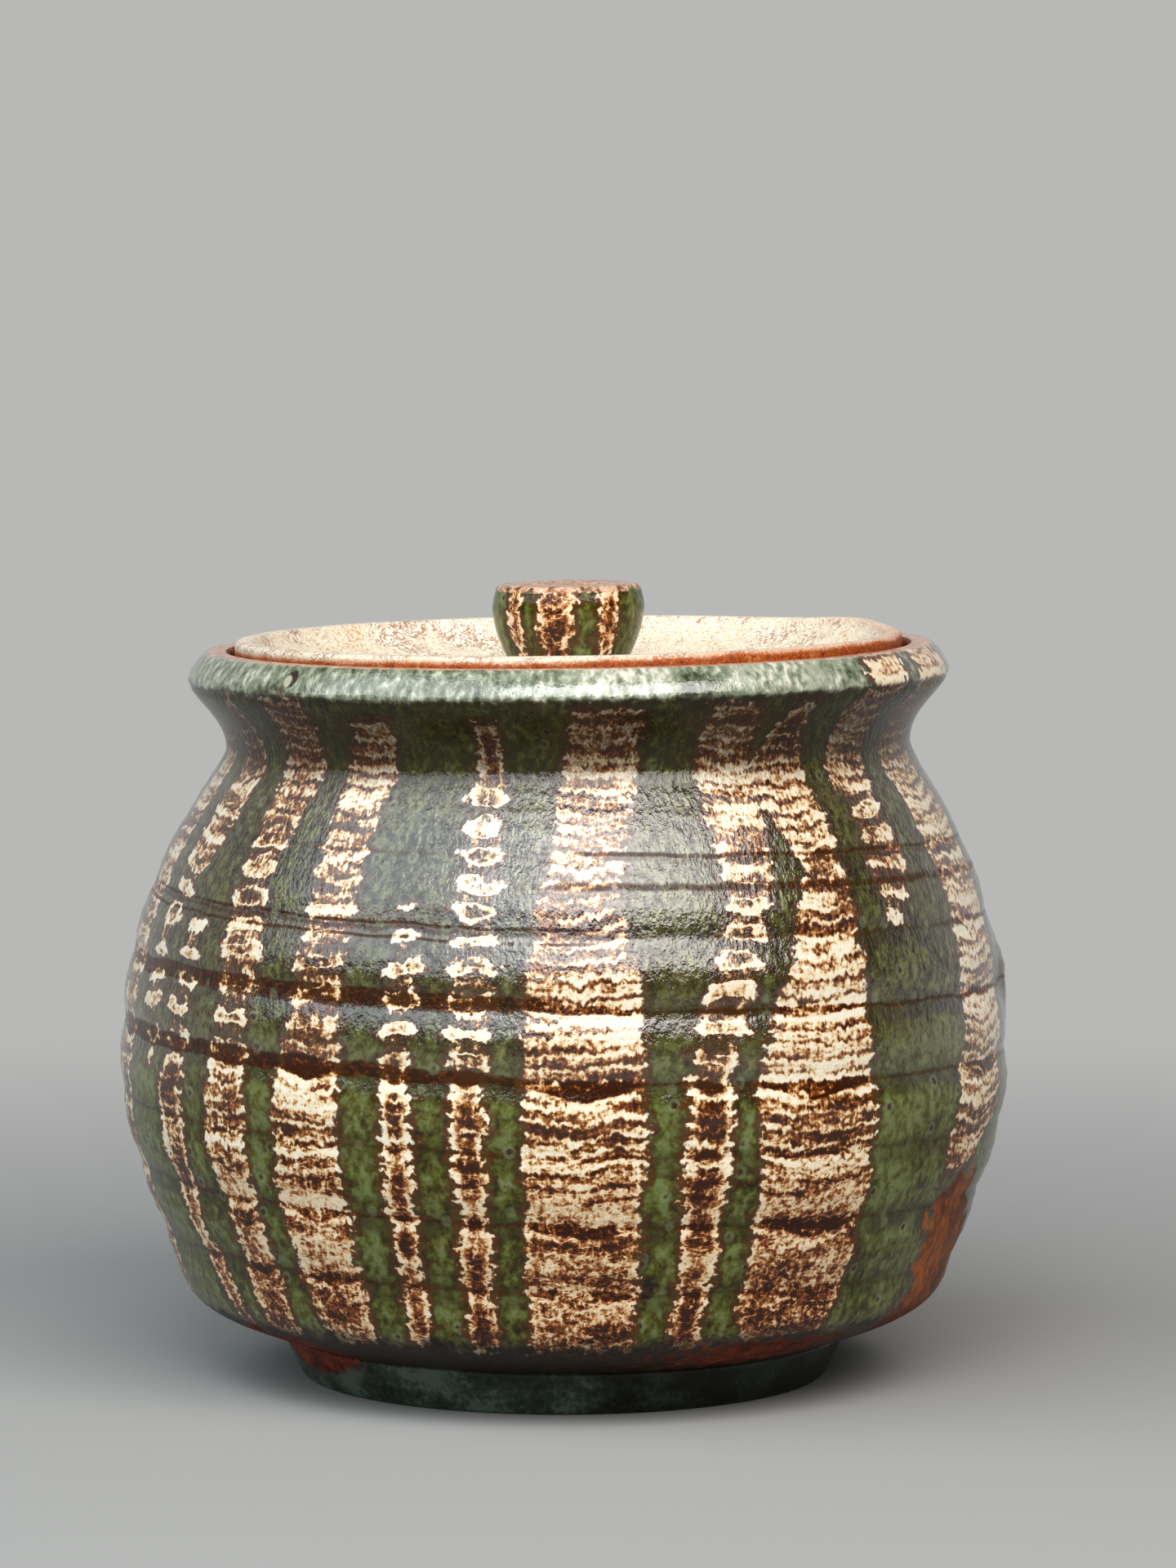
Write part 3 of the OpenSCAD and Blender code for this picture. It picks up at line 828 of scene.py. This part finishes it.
def makeFoot(p):
    inner, k = p["standR"] - p["width"], p["round"]
    outline = [
        stretchOf(straight((inner, p["height"]), (inner, k), 5), "glazed"),
        stretchOf(corner((inner + k, k), k, inward, downward, 4), "glazed", thin=0.4),
        stretchOf(straight((inner + k, 0), (p["standR"] - k, 0), 4), "bare"),
        stretchOf(corner((p["standR"] - k, k), k, downward, 335, 4), "glazed", thin=0.4),
        stretchOf(straight((p["standR"] + 0.1, k), (p["topR"], p["height"]), 8), "glazed"),
    ]
    settings = {"Segments": p["segments"], "Wrap Radius": p["standR"]}
    piece = turnPiece("footRing", outline, {"glazed": footGlaze, "bare": bareClay}, settings, closedLoop=True)
    markBare(piece.data, p["barePatches"], p["standR"])
    return piece


# Ledge inside the rim

ledge = {"outR": 56.9, "noseR": 52.0, "topZ": 119.6, "noseT": 1.8, "stepR": 55.4, "stepZ": 115.5, "round": 0.5,
         "segments": 256}


def makeLedge(p):
    k = p["round"]
    step, nose = (p["stepR"], p["stepZ"]), (p["noseR"], p["topZ"] - p["noseT"])
    outline = [
        stretchOf(straight(step, (p["outR"], p["stepZ"]), 1), "bare"),
        stretchOf(straight((p["outR"], p["stepZ"]), (p["outR"], p["topZ"]), 3), "bare"),
        stretchOf(straight((p["outR"], p["topZ"]), (p["noseR"] + k, p["topZ"]), 4), "bare"),
        stretchOf(corner((p["noseR"] + k, p["topZ"] - k), k, upright, inward, 4), "bare"),
        stretchOf(straight(nose, step, 4), "bare"),
    ]
    return turnPiece("ledgeRing", outline, {"bare": bareClay}, {"Segments": p["segments"]}, closedLoop=True)


# Lid

lid = {"edgeR": 56.2, "ledgeZ": 119.6, "edgeZ": 125.0, "edgeW": 3.4, "edgeRound": 1.0, "bowlR": 51.2,
       "dishZ": 118.0, "thick": 4.5, "seatR": 9.5, "dishTurn": 55, "bareBand": 2.2, "segments": 384,
       "glazeLine": [(-180, 123.4), (-75, 123.3), (-45, 123.6), (-25, 124.0), (-8, 123.7), (10, 124.2), (30, 124.5),
                     (90, 124.6), (150, 123.8), (180, 123.4)],  # below these heights round the edge the clay stays bare
       "edgeLump": {"angle": 116.0, "rise": 0.8, "across": 13.0, "fromZ": 121.5}}  # a raised place at the right


def liftEdge(mesh, lump, topZ):
    places = readPlaces(mesh)
    reach = np.hypot(places[:, 0], places[:, 1])
    across = turnGap(angleFromFront(places), lump["angle"]) * np.pi / 180 * reach / lump["across"]
    share = np.clip((places[:, 2] - lump["fromZ"]) / (topZ - lump["fromZ"]), 0.0, 1.0)
    places[:, 2] += lump["rise"] * share * np.exp(-across ** 2)
    writePlaces(mesh, places)


def makeLid(p):
    k = p["edgeRound"]
    dishR, underZ = p["edgeR"] - p["edgeW"], p["dishZ"] - p["thick"]
    outer, inner = (p["edgeR"] - k, p["edgeZ"] - k), (dishR + k, p["edgeZ"] - k)
    underSeat, dishSeat = (p["seatR"], underZ), (p["seatR"], p["dishZ"])
    under = sweep(underSeat, 0, (p["bowlR"], p["ledgeZ"]), p["dishTurn"], (0.45, 0.2), 18)
    dish = sweep((dishR, p["edgeZ"] - k), inward + p["dishTurn"], dishSeat, inward, (0.2, 0.45), 36)
    outline = [
        stretchOf(straight((0, underZ), underSeat, 3), "under"),
        stretchOf(under, "under"),
        stretchOf(straight((p["bowlR"], p["ledgeZ"]), (p["edgeR"], p["ledgeZ"]), 3), "bare"),
        stretchOf(straight((p["edgeR"], p["ledgeZ"]), (p["edgeR"], p["edgeZ"] - k), 6), "cream"),
        stretchOf(corner(outer, k, 0, upright, 7), "cream"),
        stretchOf(corner(inner, k, upright, inward, 6), "cream", thin=0.2),
        stretchOf(dish, "cream"),
        stretchOf(straight(dishSeat, (0, p["dishZ"]), 4), "cream"),
    ]
    finishes = {"under": innerGlaze, "bare": bareClay, "cream": creamGlaze}
    piece = turnPiece("lidDish", outline, finishes, {"Segments": p["segments"], "Wrap Radius": p["edgeR"]})
    places = readPlaces(piece.data)
    line = np.array(p["glazeLine"])
    tilted = places[:, 0] * wheelInputs["Tilt"][1]
    below = np.interp(angleFromFront(places), line[:, 0], line[:, 1]) + tilted - places[:, 2]
    fromSide = (np.hypot(places[:, 0], places[:, 1]) - p["edgeR"] + p["bareBand"]) * 2
    writeNumbers(piece.data, "bareEdge", np.minimum(below, fromSide))
    liftEdge(piece.data, p["edgeLump"], p["edgeZ"])
    return piece


# Knob

knob = {"footR": 8.5, "footZ": 118.0, "topR": 12.8, "topZ": 133.7, "band": 4.0, "taper": 0.5, "round": 1.2,
        "hollow": 0.7, "footTurn": 60, "brimTurn": 106, "segments": 192, "levelShift": -105.2,
        "stripes": [[(119, -46, -39), (126, -48, -37), (135, -49, -35.5)],
                    [(119, -17, 2), (125, -19, 6), (135, -22, 9)],
                    [(120, 30, 40), (126, 28, 43), (135, 27, 44)], [(122, 92, 104), (135, 90, 106)],
                    [(119, 132, 156), (135, 128, 160)], [(120, 182, 192), (135, 180, 194)],
                    [(119, 218, 242), (135, 214, 246)]]}  # height, left and right angle, as on the pot


def makeKnob(p):
    k, brimR = p["round"], p["topR"] - p["taper"]
    bandZ = p["topZ"] - p["band"]
    footEdge, bandEdge, brimEdge = (p["footR"], p["footZ"]), (p["topR"], bandZ), (brimR, p["topZ"] - k)
    hollowFrom, hollowTo = (brimR - 2 * k, p["topZ"]), (0, p["topZ"] - p["hollow"])
    outline = [
        stretchOf(straight((0, p["footZ"]), footEdge, 3), "outside"),
        stretchOf(sweep(footEdge, p["footTurn"], bandEdge, upright, (0.35, 0.3), 22), "outside"),
        stretchOf(sweep(bandEdge, upright, brimEdge, p["brimTurn"], (0.4, 0.3), 5), "outside"),
        stretchOf(corner((brimR - k, p["topZ"] - k), k, 10, upright, 6), "outside", thin=0.6),
        stretchOf(sweep(hollowFrom, inward, hollowTo, inward, (0.3, 0.5), 12), "outside", thin=0.75),
    ]
    settings = {"Segments": p["segments"], "Wrap Radius": p["topR"], "Level Shift": p["levelShift"]}
    piece = turnPiece("lidKnob", outline, {"outside": stripedGlaze}, settings)
    markStripes(piece.data, p["stripes"], p["topR"])
    markBare(piece.data, [], p["topR"])
    return piece


pieces = [
    (makePot(pot), "pot", "pot_body", "striped_glaze"),
    (makeFoot(foot), "pot", "foot_ring", "foot_glaze"),
    (makeLedge(ledge), "pot", "ledge_ring", "bare_clay"),
    (makeLid(lid), "lid", "lid_dish", "cream_glaze"),
    (makeKnob(knob), "lid", "lid_knob", "knob_glaze"),
]
for piece, body, node, slot in pieces:
    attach(piece, body)
    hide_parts(node)
print("pieces in place")


# Floor, light and camera

studio = {"halfWidth": 12.0, "front": -12.0, "backAt": 1.6, "bend": 0.7, "height": 2.6, "tone": 0.38, "farTone": 0.48,
          "near": 0.14, "far": 0.5,  # metres; beyond far the backdrop shows one even pale tone
          "skyLevel": 0.1}


def makeFloor(p):
    profile = [(p["front"], 0.0)]
    for turn in np.linspace(-90, 0, 13):
        profile.append((p["backAt"] + p["bend"] * math.cos(math.radians(turn)),
                        p["bend"] + p["bend"] * math.sin(math.radians(turn))))
    profile.append((p["backAt"] + p["bend"], p["height"]))
    vertices, faces = [], []
    for y, z in profile:
        vertices += [(-p["halfWidth"], y, z), (p["halfWidth"], y, z)]
    for i in range(len(profile) - 1):
        faces.append((2 * i, 2 * i + 1, 2 * i + 3, 2 * i + 2))
    mesh = bpy.data.meshes.new("studioFloor")
    mesh.from_pydata(vertices, [], faces)
    mesh.polygons.foreach_set("use_smooth", [True] * len(mesh.polygons))
    mesh.materials.append(makeFloorPaint(p))
    floor = bpy.data.objects.new("studioFloor", mesh)
    bpy.context.scene.collection.objects.link(floor)


def makeFloorPaint(p):
    material, tree, shader = newGlaze("paleFloor")
    shader.inputs["Base Color"].default_value = (p["tone"], p["tone"], p["tone"] * 0.98, 1)
    shader.inputs["Roughness"].default_value = 0.9
    shader.inputs["Specular IOR Level"].default_value = 0.1
    even = put(tree, "ShaderNodeEmission", {"Color": (p["farTone"], p["farTone"], p["farTone"] * 0.985, 1)})
    rays = put(tree, "ShaderNodeLightPath")
    seen = Field(tree, rays.outputs["Is Camera Ray"])
    for name in ("Is Glossy Ray", "Is Transmission Ray"):
        seen = seen.does("MAXIMUM", Field(tree, rays.outputs[name]))
    place = out(tree, "ShaderNodeTexCoord", None, "Object")
    away = out(tree, "ShaderNodeVectorMath", {0: place}, "Value", operation="LENGTH").fade(p["near"], p["far"])
    mixed = put(tree, "ShaderNodeMixShader", {0: seen * away})
    tree.links.new(shader.outputs[0], mixed.inputs[1])
    tree.links.new(even.outputs[0], mixed.inputs[2])
    tree.links.new(mixed.outputs[0], tree.nodes["Material Output"].inputs["Surface"])
    return material


aim = np.array([0.0, 0.0, 0.075])  # the middle of the jar
lamps = {  # angle and rise in degrees as seen from the jar, distance and size in metres
    "skyPanel": {"angle": 20.0, "rise": 43.0, "distance": 1.3, "size": (1.35, 0.85), "power": 19.0,
                 "tone": (1.0, 0.97, 0.93)},
    "coolPanel": {"angle": -50.0, "rise": 42.0, "distance": 1.4, "size": (2.0, 1.25), "power": 18.0,
                  "tone": (0.85, 0.94, 1.0)},
}


def addLamp(name, p):
    data = bpy.data.lights.new(name, "AREA")
    data.shape = "RECTANGLE"
    data.size, data.size_y = p["size"]
    data.energy = p["power"]
    data.color = p["tone"]
    lamp = bpy.data.objects.new(name, data)
    bpy.context.scene.collection.objects.link(lamp)
    angle, rise = math.radians(p["angle"]), math.radians(p["rise"])
    away = np.array([math.sin(angle) * math.cos(rise), -math.cos(angle) * math.cos(rise), math.sin(rise)])
    lamp.location = aim + away * p["distance"]
    lamp.rotation_euler = (math.pi / 2 - rise, 0.0, angle)


def lightWorld(level):
    world = bpy.data.worlds.new("studioWorld")
    bpy.context.scene.world = world
    world.use_nodes = True
    background = world.node_tree.nodes["Background"]
    background.inputs["Color"].default_value = (0.9, 0.95, 1.0, 1)
    background.inputs["Strength"].default_value = level


# the view of the photo: the lens's place in metres, how far it looks down in radians, its length in millimetres
view = {"distance": 1.0976, "height": 0.1933, "right": 0.0041, "downward": 0.0850, "lens": 149.75}


def placeCamera(p):
    data = bpy.data.cameras.new("camera")
    data.lens = p["lens"]
    data.sensor_width = 36.0
    data.clip_start = 0.05
    camera = bpy.data.objects.new("camera", data)
    bpy.context.scene.collection.objects.link(camera)
    camera.location = (p["right"], -p["distance"], p["height"])
    camera.rotation_euler = (math.pi / 2 - p["downward"], 0.0, 0.0)
    bpy.context.scene.camera = camera


makeFloor(studio)
for name, settings in lamps.items():
    addLamp(name, settings)
lightWorld(studio["skyLevel"])
placeCamera(view)
bpy.context.scene.view_settings.view_transform = "Standard"
print("studio lit")
